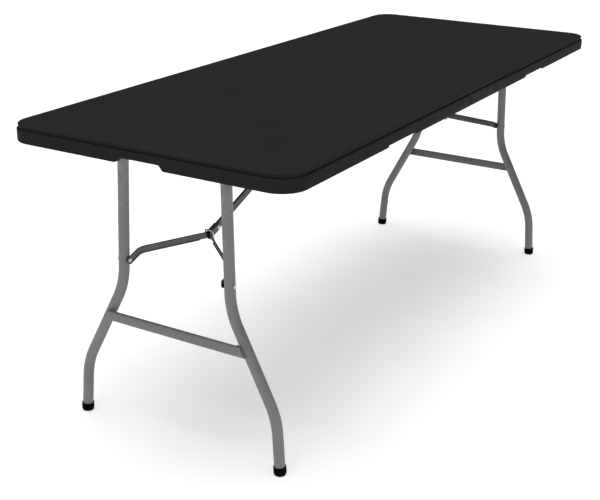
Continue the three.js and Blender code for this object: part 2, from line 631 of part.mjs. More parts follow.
// One arm: a channel from the leg rivet to the hub, then a flat cheek beside the link.
function braceArm(side) {
  const cheekStart = BRACE_LENGTH - HUB_TO_RIVET;
  const end = RIVET_SHANK_RADIUS + CHEEK_HEIGHT;
  const route = filleted([
    new THREE.Vector2(-ARM_HEIGHT, ARM_OUTER_Y),
    new THREE.Vector2(ARM_BEND_START, ARM_OUTER_Y),
    new THREE.Vector2(cheekStart, CHEEK_OUTER_Y),
    new THREE.Vector2(BRACE_LENGTH + end, CHEEK_OUTER_Y),
  ], [ARM_BEND_RADIUS, HUB_BEND_RADIUS], ARM_BEND_STEPS);
  const halfHeight = ARM_HEIGHT / 2;
  const web = slab(stripShape(route, 0, -ARM_SHEET), -halfHeight, halfHeight);
  const flangeStop = box(
    [-2 * ARM_HEIGHT, 0, -ARM_HEIGHT],
    [cheekStart - FLANGE_STOP, 2 * ARM_OUTER_Y, ARM_HEIGHT],
  );
  const flanges = [halfHeight - ARM_SHEET, -halfHeight].map((bottom) => {
    const flange = slab(stripShape(route, -ARM_SHEET / 2, -ARM_FLANGE), bottom, bottom + ARM_SHEET);
    return common(flange, flangeStop);
  });
  const profile = new THREE.Shape();
  profile.absarc(0, 0, halfHeight, Math.PI / 2, 1.5 * Math.PI, false);
  profile.lineTo(cheekStart - FLANGE_STOP, -halfHeight);
  profile.lineTo(cheekStart, -CHEEK_HEIGHT / 2);
  profile.absarc(BRACE_LENGTH, 0, CHEEK_HEIGHT / 2, -Math.PI / 2, Math.PI / 2, false);
  profile.lineTo(cheekStart, CHEEK_HEIGHT / 2);
  profile.lineTo(cheekStart - FLANGE_STOP, halfHeight);
  profile.closePath();
  const trimmed = common(join(web, ...flanges), plateAcrossY(profile, 0, 2 * ARM_OUTER_Y));
  const holes = [0, BRACE_LENGTH].map((x) => (
    barAlongY(RIVET_SHANK_RADIUS + GAP, 0, 2 * ARM_OUTER_Y).translate(x, 0, 0)
  ));
  const arm = cut(trimmed, ...holes);
  // The arm is alike above and below, so half a turn about its length swaps its sides.
  return side > 0 ? arm : arm.rotateX(Math.PI);
}

// The head that closes the leg joint on the arm's inner side.
function armRivet(side) {
  const inner = ARM_OUTER_Y - ARM_SHEET - GAP;
  const rivet = turnedAlongY([
    [0, inner - RIVET_HEAD_HEIGHT],
    [RIVET_HEAD_RADIUS * DOME_RADIUS_SHARE, inner - RIVET_HEAD_HEIGHT * DOME_HEIGHT_SHARE],
    [RIVET_HEAD_RADIUS, inner],
    [RIVET_SHANK_RADIUS, inner],
    [RIVET_SHANK_RADIUS, ARM_OUTER_Y],
    [0, ARM_OUTER_Y],
  ]);
  return side > 0 ? rivet : rivet.rotateZ(Math.PI);
}

function hubRivet() {
  const reach = CHEEK_OUTER_Y + GAP;
  const crown = reach + RIVET_HEAD_HEIGHT;
  const shoulder = reach + RIVET_HEAD_HEIGHT * DOME_HEIGHT_SHARE;
  return turnedAlongY([
    [0, -crown],
    [RIVET_HEAD_RADIUS * DOME_RADIUS_SHARE, -shoulder],
    [RIVET_HEAD_RADIUS, -reach],
    [RIVET_SHANK_RADIUS, -reach],
    [RIVET_SHANK_RADIUS, reach],
    [RIVET_HEAD_RADIUS, reach],
    [RIVET_HEAD_RADIUS * DOME_RADIUS_SHARE, shoulder],
    [0, crown],
  ]);
}

// ---------------------------------------------------------------- centre link and lock ring
// Drawn in the link frame: the origin is the link rod, +x runs down the link to the hub rivet.

function centreLink() {
  const half = LINK_WIDTH / 2;
  const end = LINK_LENGTH + LINK_TAIL;
  const profile = new THREE.Shape();
  profile.absarc(0, 0, LINK_HEIGHT / 2, Math.PI / 2, 1.5 * Math.PI, false);
  profile.lineTo(end, -LINK_HEIGHT / 2);
  profile.lineTo(end, LINK_HEIGHT / 2);
  profile.closePath();
  const hollow = box(
    [-LINK_HEIGHT, -half + LINK_WALL, -LINK_HEIGHT],
    [end + 1, half - LINK_WALL, LINK_HEIGHT / 2 - LINK_WALL],
  );
  const rodHole = barAlongY(ROD_RADIUS + RUNNING_GAP, -LINK_WIDTH, LINK_WIDTH);
  const rivetHole = barAlongY(RIVET_SHANK_RADIUS + RUNNING_GAP, -LINK_WIDTH, LINK_WIDTH);
  return cut(plateAcrossY(profile, -half, half), hollow, rodHole, rivetHole.translate(LINK_LENGTH, 0, 0));
}

// A plug in the link's tail with a head as large as the link.
function linkTip() {
  const end = LINK_LENGTH + LINK_TAIL;
  const half = LINK_WIDTH / 2;
  const fit = LINK_WALL + GAP;
  const head = box(
    [end + GAP, -half, -LINK_HEIGHT / 2],
    [end + LINK_TIP_LENGTH, half, LINK_HEIGHT / 2],
  );
  const plug = box(
    [end - LINK_TIP_PLUG, -half + fit, -LINK_HEIGHT / 2],
    [end + 1, half - fit, LINK_HEIGHT / 2 - fit],
  );
  return join(head, plug);
}

// A wire loop round the link and both cheeks.
function lockRing() {
  const halfWidth = CHEEK_OUTER_Y + GAP + RIVET_HEAD_HEIGHT + RING_SIDE_GAP + RING_WIRE_RADIUS;
  const halfHeight = RING_INNER_HALF_HEIGHT + RING_WIRE_RADIUS;
  const outline = roundedRectangle(halfWidth, halfHeight, RING_CORNER).getPoints(4);
  outline.pop();
  const loop = new THREE.CatmullRomCurve3(
    outline.map((point) => new THREE.Vector3(0, point.x, point.y)),
    true,
    'catmullrom',
    0.1,
  );
  const wire = new THREE.Shape().absarc(0, 0, RING_WIRE_RADIUS, 0, 2 * Math.PI, false);
  return new THREE.ExtrudeGeometry(wire, { steps: RING_STEPS, curveSegments: 4, extrudePath: loop });
}

// ---------------------------------------------------------------- assembly

function place(group, name, geometry, material, position = [0, 0, 0]) {
  const mesh = new THREE.Mesh(geometry, material);
  mesh.name = name;
  mesh.position.set(...position);
  group.add(mesh);
  return mesh;
}

const SIDES = [['left', 1], ['right', -1]];

function addHalfTop(half, prefix) {
  const pockets = [];
  SIDES.forEach(([, side]) => {
    screwPlaces().forEach((x) => pockets.push(screwPocket().translate(x, side * RAIL_Y, 0)));
  });
  place(half, `${prefix}_panel`, cut(halfTop(), ...pockets), blackPlastic);
  SIDES.forEach(([word, side]) => {
    place(half, `${prefix}_rail_${word}`, rail(side), greyPaint);
    place(half, `${prefix}_hinge_leaf_${word}`, hingeLeaf(side), zinc);
    screwPlaces().forEach((x, index) => {
      place(half, `${prefix}_rail_screw_${word}_${index + 1}`, railScrew(), zinc, [x, side * RAIL_Y, 0]);
    });
  });
  place(half, `${prefix}_link_rod`, linkRod(), zinc, [ROD_INSET, 0, ROD_Z]);
}

function addLegSet(half, prefix) {
  const legs = new THREE.Group();
  legs.position.set(PIVOT_X, 0, PIVOT_Z);
  legs.rotation.y = -LEG_TILT;
  half.add(legs);
  place(legs, `${prefix}_top_tube`, topTube(), greyPaint);
  place(legs, `${prefix}_crossbar`, crossbar(), greyPaint);
  SIDES.forEach(([word, side]) => {
    place(legs, `${prefix}_leg_tube_${word}`, legTube(side), greyPaint);
    place(legs, `${prefix}_leg_rivet_${word}`, legRivet(side), zinc, [0, 0, -BRACE_PIVOT_DROP]);
    place(legs, `${prefix}_arm_spacer_${word}`, spacer(side), rubber, [0, 0, -BRACE_PIVOT_DROP]);
  });
  // The caps' soles are trimmed level with the floor, so they are placed in the half's frame.
  const floor = box([-HALF_LENGTH, -HALF_WIDTH, -TABLE_HEIGHT], [TABLE_LENGTH, HALF_WIDTH, 0]);
  SIDES.forEach(([word, side]) => {
    const cap = footCap(side).rotateY(-LEG_TILT).translate(PIVOT_X, 0, PIVOT_Z);
    place(half, `${prefix}_foot_cap_${word}`, cut(cap, floor), rubber);
  });
}

function addBrace(half, prefix) {
  const brace = new THREE.Group();
  brace.position.set(BRACE_PIVOT_X, 0, BRACE_PIVOT_HEIGHT);
  brace.rotation.set(0, BRACE_ANGLE, Math.PI, 'YZX');
  half.add(brace);
  // The brace frame is turned half round, so its left is the half's right.
  place(brace, `${prefix}_brace_arm_left`, braceArm(-1), darkPaint);
  place(brace, `${prefix}_brace_arm_right`, braceArm(1), darkPaint);
  place(brace, `${prefix}_arm_rivet_left`, armRivet(-1), zinc);
  place(brace, `${prefix}_arm_rivet_right`, armRivet(1), zinc);
  place(brace, `${prefix}_hub_rivet`, hubRivet(), zinc, [BRACE_LENGTH, 0, 0]);
}

function addLink(half, prefix) {
  const link = new THREE.Group();
  link.position.set(ROD_INSET, 0, ROD_Z);
  link.rotation.y = LINK_ANGLE;
  half.add(link);
  place(link, `${prefix}_centre_link`, centreLink(), darkPaint);
  place(link, `${prefix}_link_tip`, linkTip(), blackPlastic);
  place(link, `${prefix}_lock_ring`, lockRing(), zinc, [LINK_LENGTH + RING_FROM_RIVET, 0, 0]);
}

const table = new THREE.Group();
[['a', Math.PI], ['b', 0]].forEach(([prefix, turn]) => {
  const half = new THREE.Group();
  half.rotation.z = turn;
  table.add(half);
  addHalfTop(half, prefix);
  addLegSet(half, prefix);
  addBrace(half, prefix);
  addLink(half, prefix);
});
SIDES.forEach(([word, side]) => {
  place(table, `hinge_pin_${word}`, hingePin(), zinc, [0, side * RAIL_Y, APRON_BOTTOM - HINGE_DROP]);
});

export default table;
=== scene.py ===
import json
import math
import bmesh
import bpy
from mathutils import Matrix, Vector, noise


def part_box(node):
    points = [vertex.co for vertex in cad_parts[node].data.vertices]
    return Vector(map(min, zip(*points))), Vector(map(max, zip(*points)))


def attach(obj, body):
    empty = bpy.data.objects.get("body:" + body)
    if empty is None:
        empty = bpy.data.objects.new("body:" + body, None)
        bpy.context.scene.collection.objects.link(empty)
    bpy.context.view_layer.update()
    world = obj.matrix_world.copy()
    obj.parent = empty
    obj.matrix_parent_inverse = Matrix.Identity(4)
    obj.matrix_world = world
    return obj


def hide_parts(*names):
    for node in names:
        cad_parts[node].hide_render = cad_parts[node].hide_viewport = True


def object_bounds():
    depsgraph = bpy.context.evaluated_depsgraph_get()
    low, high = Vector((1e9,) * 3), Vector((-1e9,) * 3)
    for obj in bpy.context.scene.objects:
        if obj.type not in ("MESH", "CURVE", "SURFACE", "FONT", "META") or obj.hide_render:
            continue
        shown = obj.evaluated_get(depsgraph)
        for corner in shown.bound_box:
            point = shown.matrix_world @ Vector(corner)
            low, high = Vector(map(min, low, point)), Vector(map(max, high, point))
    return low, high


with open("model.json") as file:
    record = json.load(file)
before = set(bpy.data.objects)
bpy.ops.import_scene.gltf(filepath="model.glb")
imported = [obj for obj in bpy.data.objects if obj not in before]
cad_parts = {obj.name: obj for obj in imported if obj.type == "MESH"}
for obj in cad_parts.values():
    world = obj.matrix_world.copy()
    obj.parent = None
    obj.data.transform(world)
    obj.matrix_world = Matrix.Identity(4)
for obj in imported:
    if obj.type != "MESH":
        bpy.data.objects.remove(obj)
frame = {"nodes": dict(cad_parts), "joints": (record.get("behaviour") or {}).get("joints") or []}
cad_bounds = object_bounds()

MM = 0.001
HALVES = {"a": Matrix.Rotation(math.pi, 4, "Z"), "b": Matrix.Identity(4)}
SIDES = {"left": 1, "right": -1}

# ---------------------------------------------------------------- places, from the frame

table_high = cad_bounds[1]
END_X = table_high.x
SIDE_Y = table_high.y
TOP_Z = table_high.z
FOOT_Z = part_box("b_panel")[0].z
SEAM_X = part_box("b_panel")[0].x

joints = {joint["name"]: joint for joint in frame["joints"]}
PIVOT = Vector(joints["legs_b_fold"]["pos_m"])
ROD = Vector(joints["link_b_swing"]["pos_m"])
HUB = Vector(joints["brace_b_turn"]["pos_m"])
FOOT = (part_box("b_foot_cap_left")[0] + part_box("b_foot_cap_left")[1]) / 2

# ---------------------------------------------------------------- sizes that repeat the CAD's

APRON_WALL = 18 * MM
PLATE = 12 * MM
CORNER_RADIUS = 60 * MM
SEAM_RIB = 12 * MM
BAND_INSET = 3 * MM
LEDGE_DROP = 11.5 * MM
TUBE_RADIUS = 12.7 * MM
TUBE_WALL = 1.2 * MM
GAP = 0.3 * MM


# ---------------------------------------------------------------- mesh helpers


def mesh_piece(name, verts, faces):
    mesh = bpy.data.meshes.new(name)
    mesh.from_pydata([tuple(v) for v in verts], [], faces)
    piece = bpy.data.objects.new(name, mesh)
    bpy.context.scene.collection.objects.link(piece)
    return piece


def tidy_mesh(piece, sharp_degrees=40):
    """Normals outwards, smooth faces, and sharp edges kept where faces meet at an angle."""
    bm = bmesh.new()
    bm.from_mesh(piece.data)
    bmesh.ops.recalc_face_normals(bm, faces=bm.faces)
    bm.to_mesh(piece.data)
    bm.free()
    for face in piece.data.polygons:
        face.use_smooth = True
    piece.data.set_sharp_from_angle(angle=math.radians(sharp_degrees))
    return piece


def skin(rings, closed=False, capped=False, first_index=0):
    """Faces and points through rings of equally many points; a ring of one point is a pole."""
    verts = []
    index = []
    for ring in rings:
        index.append(range(first_index + len(verts), first_index + len(verts) + len(ring)))
        verts += ring
    pairs = list(zip(index, index[1:]))
    if closed:
        pairs.append((index[-1], index[0]))
    faces = []
    for low, high in pairs:
        count = max(len(low), len(high))
        for i in range(count):
            j = (i + 1) % count
            if len(low) == 1:
                faces.append((low[0], high[j], high[i]))
            elif len(high) == 1:
                faces.append((low[i], low[j], high[0]))
            else:
                faces.append((low[i], low[j], high[j], high[i]))
    if capped:
        faces.append(tuple(reversed(index[0])))
        faces.append(tuple(index[-1]))
    return verts, faces


def softened(points, radius, steps=3, closed=False):
    """A profile with its corners rounded; an open profile keeps its two ends."""
    points = [Vector(p) for p in points]
    count = len(points)
    rounded = []
    for i, corner in enumerate(points):
        if not closed and i in (0, count - 1):
            rounded.append(corner)
            continue
        before = points[i - 1] - corner
        after = points[(i + 1) % count] - corner
        reach = min(radius, before.length * 0.45, after.length * 0.45)
        start = corner + before.normalized() * reach
        end = corner + after.normalized() * reach
        for step in range(steps + 1):
            t = step / steps
            rounded.append((1 - t) ** 2 * start + 2 * t * (1 - t) * corner + t ** 2 * end)
    return rounded


def circle(radius, count):
    turn = 2 * math.pi / count
    return [(radius * math.cos(i * turn), radius * math.sin(i * turn)) for i in range(count)]


def turned(profile, matrix, segments=40, closed=False):
    """Rings of a piece turned about the local Y axis, from (radius, y) pairs."""
    rings = []
    for radius, along in profile:
        if radius < 1e-7:
            rings.append([matrix @ Vector((0, along, 0))])
        else:
            rings.append([matrix @ Vector((x, along, z)) for x, z in circle(radius, segments)])
    return skin(rings, closed)


def refined(name, node, bevel, segments=2):
    """A copy of a CAD node's mesh with its flat faces merged and its edges rounded."""
    mesh = frame["nodes"][node].data.copy()
    mesh.materials.clear()
    piece = bpy.data.objects.new(name, mesh)
    bpy.context.scene.collection.objects.link(piece)
    bm = bmesh.new()
    bm.from_mesh(mesh)
    bmesh.ops.remove_doubles(bm, verts=bm.verts, dist=2e-6)
    bmesh.ops.dissolve_limit(bm, angle_limit=math.radians(1), verts=bm.verts, edges=bm.edges)
    sharp = [e for e in bm.edges if e.is_manifold and e.calc_face_angle() > math.radians(40)]
    bmesh.ops.bevel(
        bm, geom=sharp, offset=bevel, offset_type="OFFSET", segments=segments,
        profile=0.5, affect="EDGES", clamp_overlap=True,
    )
    bm.to_mesh(mesh)
    bm.free()
    return tidy_mesh(piece, 50)


# ---------------------------------------------------------------- materials


def add(tree, kind, inputs=None, **settings):
    """A shader node with its settings, and its inputs as values or as links from sockets."""
    node = tree.nodes.new(kind)
    for key, value in settings.items():
        setattr(node, key, value)
    for key, value in (inputs or {}).items():
        if isinstance(value, bpy.types.NodeSocket):
            tree.links.new(value, node.inputs[key])
        else:
            node.inputs[key].default_value = value
    return node


def ramp(tree, source, stops):
    """Maps a value through (position, grey) stops."""
    node = add(tree, "ShaderNodeValToRGB", {"Fac": source})
    elements = node.color_ramp.elements
    while len(elements) < len(stops):
        elements.new(0.5)
    for element, (position, grey) in zip(elements, stops):
        element.position = position
        element.color = (grey, grey, grey, 1)
    return node.outputs["Color"]


def product(tree, first, second):
    return add(tree, "ShaderNodeMath", {0: first, 1: second}, operation="MULTIPLY").outputs[0]


def blended(tree, factor, first, second):
    node = add(tree, "ShaderNodeMix", {"Factor": factor}, data_type="RGBA")
    for socket, value in ((6, first), (7, second)):
        if isinstance(value, bpy.types.NodeSocket):
            tree.links.new(value, node.inputs[socket])
        else:
            node.inputs[socket].default_value = (*value, 1)
    return node.outputs[2]


def noise_at(tree, scale, detail=3.0, roughness=0.5, stretch=None):
    """Noise in the object's own coordinates; scale is in cells per metre."""
    place = add(tree, "ShaderNodeTexCoord").outputs["Object"]
    if stretch:
        place = add(tree, "ShaderNodeMapping", {"Vector": place, "Scale": stretch}).outputs[0]
    inputs = {"Vector": place, "Scale": scale, "Detail": detail, "Roughness": roughness}
    return add(tree, "ShaderNodeTexNoise", inputs).outputs["Fac"]


def new_material(name, roughness, metallic=0.0, specular=0.5):
    material = bpy.data.materials.new(name)
    material.use_nodes = True
    tree = material.node_tree
    shader = tree.nodes["Principled BSDF"]
    shader.inputs["Roughness"].default_value = roughness
    shader.inputs["Metallic"].default_value = metallic
    shader.inputs["Specular IOR Level"].default_value = specular
    return material, tree, shader


def rough_between(tree, shader, value, low, high):
    spread = add(tree, "ShaderNodeMapRange", {"Value": value, "To Min": low, "To Max": high})
    tree.links.new(spread.outputs[0], shader.inputs["Roughness"])


def wear_and_highlight_edges(tree, low, high, patch_scale):
    """A mask of convex edges, broken up by noise: wear along edges, which also paints a highlight on
    rims and creases.
    """
    point = add(tree, "ShaderNodeNewGeometry").outputs["Pointiness"]
    edge = ramp(tree, point, [(low, 0), (high, 1)])
    patches = ramp(tree, noise_at(tree, patch_scale), [(0.42, 0), (0.62, 1)])
    return product(tree, edge, patches)


def bumped(tree, shader, layers):
    """Bump from several (height, strength, distance) layers, one over the other."""
    normal = None
    for height, strength, distance in layers:
        inputs = {"Height": height, "Strength": strength, "Distance": distance}
        if normal is not None:
            inputs["Normal"] = normal
        normal = add(tree, "ShaderNodeBump", inputs).outputs["Normal"]
    tree.links.new(normal, shader.inputs["Normal"])


def paint(name, base, roughness):
    """Powder coat: fine orange peel, slight mottling, and paler steel along sharp edges: wear through
    the coat, and painted highlight along the rims.
    """
    material, tree, shader = new_material(name, roughness, metallic=0.0, specular=0.35)
    light = tuple(1.04 * c for c in base)
    dark = tuple(0.96 * c for c in base)
    mottle = ramp(tree, noise_at(tree, 14, 3, 0.5), [(0.3, 0), (0.7, 1)])
    coat = blended(tree, mottle, dark, light)
    specks = ramp(tree, noise_at(tree, 1400, 2), [(0.66, 0), (0.72, 1)])
    coat = blended(tree, product(tree, specks, 0.15), coat, tuple(1.5 * c for c in base))
    # Paler metal along sharp edges: worn steel, and painted highlight standing in for light on the rims.
    bare_steel_and_highlight = product(tree, wear_and_highlight_edges(tree, 0.56, 0.64, 90), 0.55)
    colour = blended(tree, bare_steel_and_highlight, coat, (0.42, 0.42, 0.43))
    tree.links.new(colour, shader.inputs["Base Color"])
    gloss = noise_at(tree, 60, 4)
    rough_between(tree, shader, gloss, roughness - 0.09, roughness + 0.1)
    tree.links.new(product(tree, bare_steel_and_highlight, 0.8), shader.inputs["Metallic"])
    bumped(tree, shader, [
        (noise_at(tree, 900, 2), 0.28, 0.00012),
        (noise_at(tree, 260, 2), 0.08, 0.0001),
    ])
    return material


def plastic(name, base, roughness, grain_scale, grain_depth, specular):
    """Moulded plastic: pebble grain, faint scuffs, and a paler look along edges: wear, and painted
    highlight on the crease and rims.
    """
    material, tree, shader = new_material(name, roughness, specular=specular)
    cloud = ramp(tree, noise_at(tree, 5, 4, 0.55), [(0.3, 0), (0.7, 1)])
    body = blended(tree, cloud, tuple(0.92 * c for c in base), tuple(1.08 * c for c in base))
    scuffs = ramp(tree, noise_at(tree, 9, 6, 0.75, (1, 7, 4)), [(0.64, 0), (0.71, 1)])
    body = blended(tree, product(tree, scuffs, 0.12), body, tuple(2.2 * c for c in base))
    # Paler plastic along convex edges: worn plastic, and painted highlight on the apron's crease and
    # rims.
    rubbed_and_highlight = product(tree, wear_and_highlight_edges(tree, 0.525, 0.57, 45), 0.5)
    body = blended(tree, rubbed_and_highlight, body, tuple(3.2 * c for c in base))
    tree.links.new(body, shader.inputs["Base Color"])
    sheen = noise_at(tree, 22, 5, 0.6)
    rough_between(tree, shader, sheen, roughness - 0.07, roughness + 0.08)
    place = add(tree, "ShaderNodeTexCoord").outputs["Object"]
    pebble = add(
        tree, "ShaderNodeTexVoronoi", {"Vector": place, "Scale": grain_scale, "Smoothness": 0.6},
        feature="SMOOTH_F1",
    ).outputs["Distance"]
    bumped(tree, shader, [
        (pebble, 0.5, grain_depth),
        (noise_at(tree, grain_scale * 2.3, 2), 0.25, grain_depth * 0.6),
        (noise_at(tree, 3, 2), 0.12, 0.002),
    ])
    return material


def zinc_plate(name):
    """Bright zinc on steel: passivation clouds, drawing lines and small pits."""
    material, tree, shader = new_material(name, 0.3, metallic=1.0)
    clouds = ramp(tree, noise_at(tree, 140, 5, 0.6), [(0.3, 0), (0.7, 1)])
    tone = blended(tree, clouds, (0.42, 0.43, 0.45), (0.66, 0.67, 0.68))
    stains = ramp(tree, noise_at(tree, 60, 4), [(0.6, 0), (0.75, 1)])
    tone = blended(tree, product(tree, stains, 0.35), tone, (0.3, 0.29, 0.27))
    tree.links.new(tone, shader.inputs["Base Color"])
    lines = noise_at(tree, 300, 3, 0.6, (0.3, 1, 3))
    rough_between(tree, shader, lines, 0.2, 0.42)
    bumped(tree, shader, [(lines, 0.2, 0.00006), (noise_at(tree, 2200, 2), 0.2, 0.00004)])
    return material


MATERIALS = {
    "top_plastic": plastic("top_plastic", (0.0165, 0.0165, 0.017), 0.58, 620, 0.0001, 0.03),
    "steel_grey_paint": paint("steel_grey_paint", (0.19, 0.19, 0.195), 0.42),
    # The brace's grey is a darker copy of the legs' grey: painted shade on the brace, whose arms face
    # away from the light.
    "brace_grey_paint": paint("brace_grey_paint", (0.088, 0.088, 0.091), 0.45),
    "zinc_steel": zinc_plate("zinc_steel"),
    "black_moulding": plastic("black_moulding", (0.0015, 0.0015, 0.0016), 0.6, 1500, 0.00006, 0.03),
}


def finished(piece, slot_name, body, *nodes):
    """Gives a piece its material, its body and the CAD nodes it stands for."""
    piece.data.materials.clear()
    piece.data.materials.append(MATERIALS[slot_name])
    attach(piece, body)
    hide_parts(*nodes)
    return piece


# ---------------------------------------------------------------- half tops

SIDE_NOTCH = (430 * MM, 70 * MM, 5 * MM, 4.5 * MM)  # centre, half width, flare, depth
END_NOTCH = (0.0, 50 * MM, 14 * MM, 12 * MM)
HINGE_SLOT = (304 * MM, 346 * MM)  # across the seam rib, from the centre line
APRON_CREASE = TOP_Z - LEDGE_DROP


def notch_rise(along, notch):
    """How far a notch lifts the foot of the apron at a place along its edge."""
    centre, half, flare, depth = notch
    t = (half + flare - abs(along - centre)) / flare
    t = max(0.0, min(1.0, t))
    return depth * t * t * (3 - 2 * t)


def notch_stations(notch):
    centre, half, flare, _ = notch
    ramp_places = [half + flare * (1 - i / 6) for i in range(7)]
    return sorted([centre - p for p in ramp_places] + [centre + p for p in ramp_places])


def arc(inset, z, radius, start, end, steps, seam_start, seam_end):
    """Profile points on an arc, as (inset, height, seam x)."""
    points = []
    for step in range(steps + 1):
        t = step / steps
        angle = math.radians(start + (end - start) * t)
        seam = seam_start + (seam_end - seam_start) * t
        points.append((inset + radius * math.cos(angle), z + radius * math.sin(angle), seam))
    return points


def top_profile():
    """From the plate's underside, down the inner wall, round the foot and up to the top."""
    under = TOP_Z - PLATE
    rib = SEAM_RIB
    inner = 4 * MM
    foot_in = 1.6 * MM
    foot_out = 2.6 * MM
    lip = 1.5 * MM
    round_over = 3.2 * MM
    seam_soft = 0.9 * MM
    wall = APRON_WALL
    profile = [(wall + inner + 3 * MM, under, rib + inner + 3 * MM)]
    profile += arc(wall + inner, under - inner, inner, 90, 180, 5, rib + inner, rib)
    profile += arc(wall - foot_in, FOOT_Z + foot_in, foot_in, 0, -90, 4, rib, rib - foot_in)
    profile += arc(foot_out, FOOT_Z + foot_out, foot_out, -90, -180, 5, SEAM_X + seam_soft, SEAM_X)
    profile += arc(lip, APRON_CREASE - lip, lip, 180, 90, 4, SEAM_X, SEAM_X)
    profile += [
        (BAND_INSET + 1.6 * MM, APRON_CREASE + 0.15 * MM, SEAM_X),
        (BAND_INSET + 2.3 * MM, APRON_CREASE + 0.7 * MM, SEAM_X),
        (BAND_INSET + 2.3 * MM, APRON_CREASE + 2.0 * MM, SEAM_X),
        (BAND_INSET + 0.9 * MM, APRON_CREASE + 6.0 * MM, SEAM_X),
    ]
    centre_z = TOP_Z - round_over
    profile += arc(BAND_INSET + round_over, centre_z, round_over, 180, 90, 8, SEAM_X, SEAM_X + seam_soft)
    profile.append((BAND_INSET + round_over + 3 * MM, TOP_Z, SEAM_X + 3 * MM))
    return profile


def outline(inset, seam):
    """Stations round a half top, as (place, edge the notch is on, place along that edge)."""
    radius = CORNER_RADIUS - inset
    side = SIDE_Y - inset
    end = END_X - inset
    straight_end = END_X - CORNER_RADIUS
    side_places = [150 * MM, 250 * MM] + notch_stations(SIDE_NOTCH) + [600 * MM, 750 * MM]
    stations = [(Vector((seam, -side, 0)), "side", seam)]
    stations += [(Vector((x, -side, 0)), "side", x) for x in side_places]
    corner_steps = 20
    for step in range(corner_steps + 1):
        angle = -math.pi / 2 + math.pi / 2 * step / corner_steps
        place = (straight_end + radius * math.cos(angle), -side + radius + radius * math.sin(angle), 0)
        stations.append((Vector(place), "corner", 0))
    end_places = [-250 * MM, -150 * MM] + notch_stations(END_NOTCH) + [150 * MM, 250 * MM]
    stations += [(Vector((end, y, 0)), "end", y) for y in end_places]
    for step in range(corner_steps + 1):
        angle = math.pi / 2 * step / corner_steps
        place = (straight_end + radius * math.cos(angle), side - radius + radius * math.sin(angle), 0)
        stations.append((Vector(place), "corner", 0))
    stations += [(Vector((x, side, 0)), "side", x) for x in reversed(side_places)]
    stations.append((Vector((seam, side, 0)), "side", seam))
    seam_steps = 8
    for step in range(1, seam_steps):
        stations.append((Vector((seam, side - 2 * side * step / seam_steps, 0)), "seam", 0))
    return stations


NOTCHES = {"side": SIDE_NOTCH, "end": END_NOTCH}


def panel_rings(turn):
    rings = []
    lift_top = TOP_Z - PLATE - 3 * MM
    for inset, z, seam in top_profile():
        ring = []
        for place, edge, along in outline(inset, seam):
            height = z
            if edge in NOTCHES and z < lift_top:
                rise = notch_rise(along, NOTCHES[edge])
                height = z + rise * (lift_top - z) / (lift_top - FOOT_Z)
            ring.append(turn @ Vector((place.x, place.y, height)))
        rings.append(ring)
    return rings


def slot_cutter(turn, side):
    """The passage for a pair of hinge leaves through the seam rib, with round corners."""
    near, far = HINGE_SLOT
    middle = Vector((0, side * (near + far) / 2, 0))
    half_y = (far - near) / 2
    outline_points = softened(
        [(-half_y, -60 * MM), (half_y, -60 * MM), (half_y, 0), (-half_y, 0)], 3 * MM, 4, closed=True,
    )
    top = TOP_Z - PLATE - 0.4 * MM
    rings = []
    for x in (SEAM_X - 4 * MM, SEAM_RIB + 6 * MM):
        rings.append([turn @ (middle + Vector((x, y, top + z))) for y, z in outline_points])
    cutter = mesh_piece("slot_cutter", *skin(rings, capped=True))
    return tidy_mesh(cutter)


def carve(piece, cutters):
    """Takes the cutters out of the piece for good."""
    for cutter in cutters:
        modifier = piece.modifiers.new("slot", "BOOLEAN")
        modifier.operation = "DIFFERENCE"
        modifier.solver = "EXACT"
        modifier.object = cutter
    bpy.context.view_layer.update()
    evaluated = piece.evaluated_get(bpy.context.evaluated_depsgraph_get())
    carved = bpy.data.meshes.new_from_object(evaluated)
    piece.modifiers.clear()
    piece.data = carved
    for cutter in cutters:
        bpy.data.objects.remove(cutter)
    return piece


def make_half_top(half, turn):
    top = mesh_piece(f"{half}_top", *skin(panel_rings(turn), capped=True))
    tidy_mesh(top)
    carve(top, [slot_cutter(turn, side) for side in SIDES.values()])
    tidy_mesh(top, 42)
    finished(top, "top_plastic", f"half_{half}", f"{half}_panel")


# ---------------------------------------------------------------- rails and centre hinge

PAN_HEAD = [(0, -3), (2.6, -2.75), (4.2, -2.1), (5, -1.1), (5, 0), (2, 0), (2, 8.4), (0, 10)]


def screw_recess(place):
    """A cross-shaped driver recess, pointing up into a screw head from below."""
    arm, width, depth = 2.6 * MM, 0.55 * MM, 1.9 * MM
    points = [
        (arm, width), (width, width), (width, arm), (-width, arm), (-width, width), (-arm, width),
        (-arm, -width), (-width, -width), (-width, -arm), (width, -arm), (width, -width), (arm, -width),
    ]
    rings = []
    for z, size in ((-1 * MM, 1.0), (depth, 0.6)):
        rings.append([place + Vector((size * x, size * y, z)) for x, y in points])
    return tidy_mesh(mesh_piece("recess_cutter", *skin(rings, capped=True)))


def make_screw(half, side_word, number):
    node = f"{half}_rail_screw_{side_word}_{number}"
    low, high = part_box(node)
    head_top = low.z + 3 * MM
    middle = Vector(((low.x + high.x) / 2, (low.y + high.y) / 2, head_top))
    up = Matrix.Translation(middle) @ Matrix.Rotation(math.pi / 2, 4, "X")
    profile = softened([(r * MM, y * MM) for r, y in PAN_HEAD], 0.5 * MM, 2)
    screw = mesh_piece(f"{half}_screw_{side_word}_{number}", *turned(profile, up, 28))
    tidy_mesh(screw, 50)
    carve(screw, [screw_recess(Vector((middle.x, middle.y, low.z)))])
    tidy_mesh(screw, 40)
    finished(screw, "zinc_steel", f"half_{half}", node)


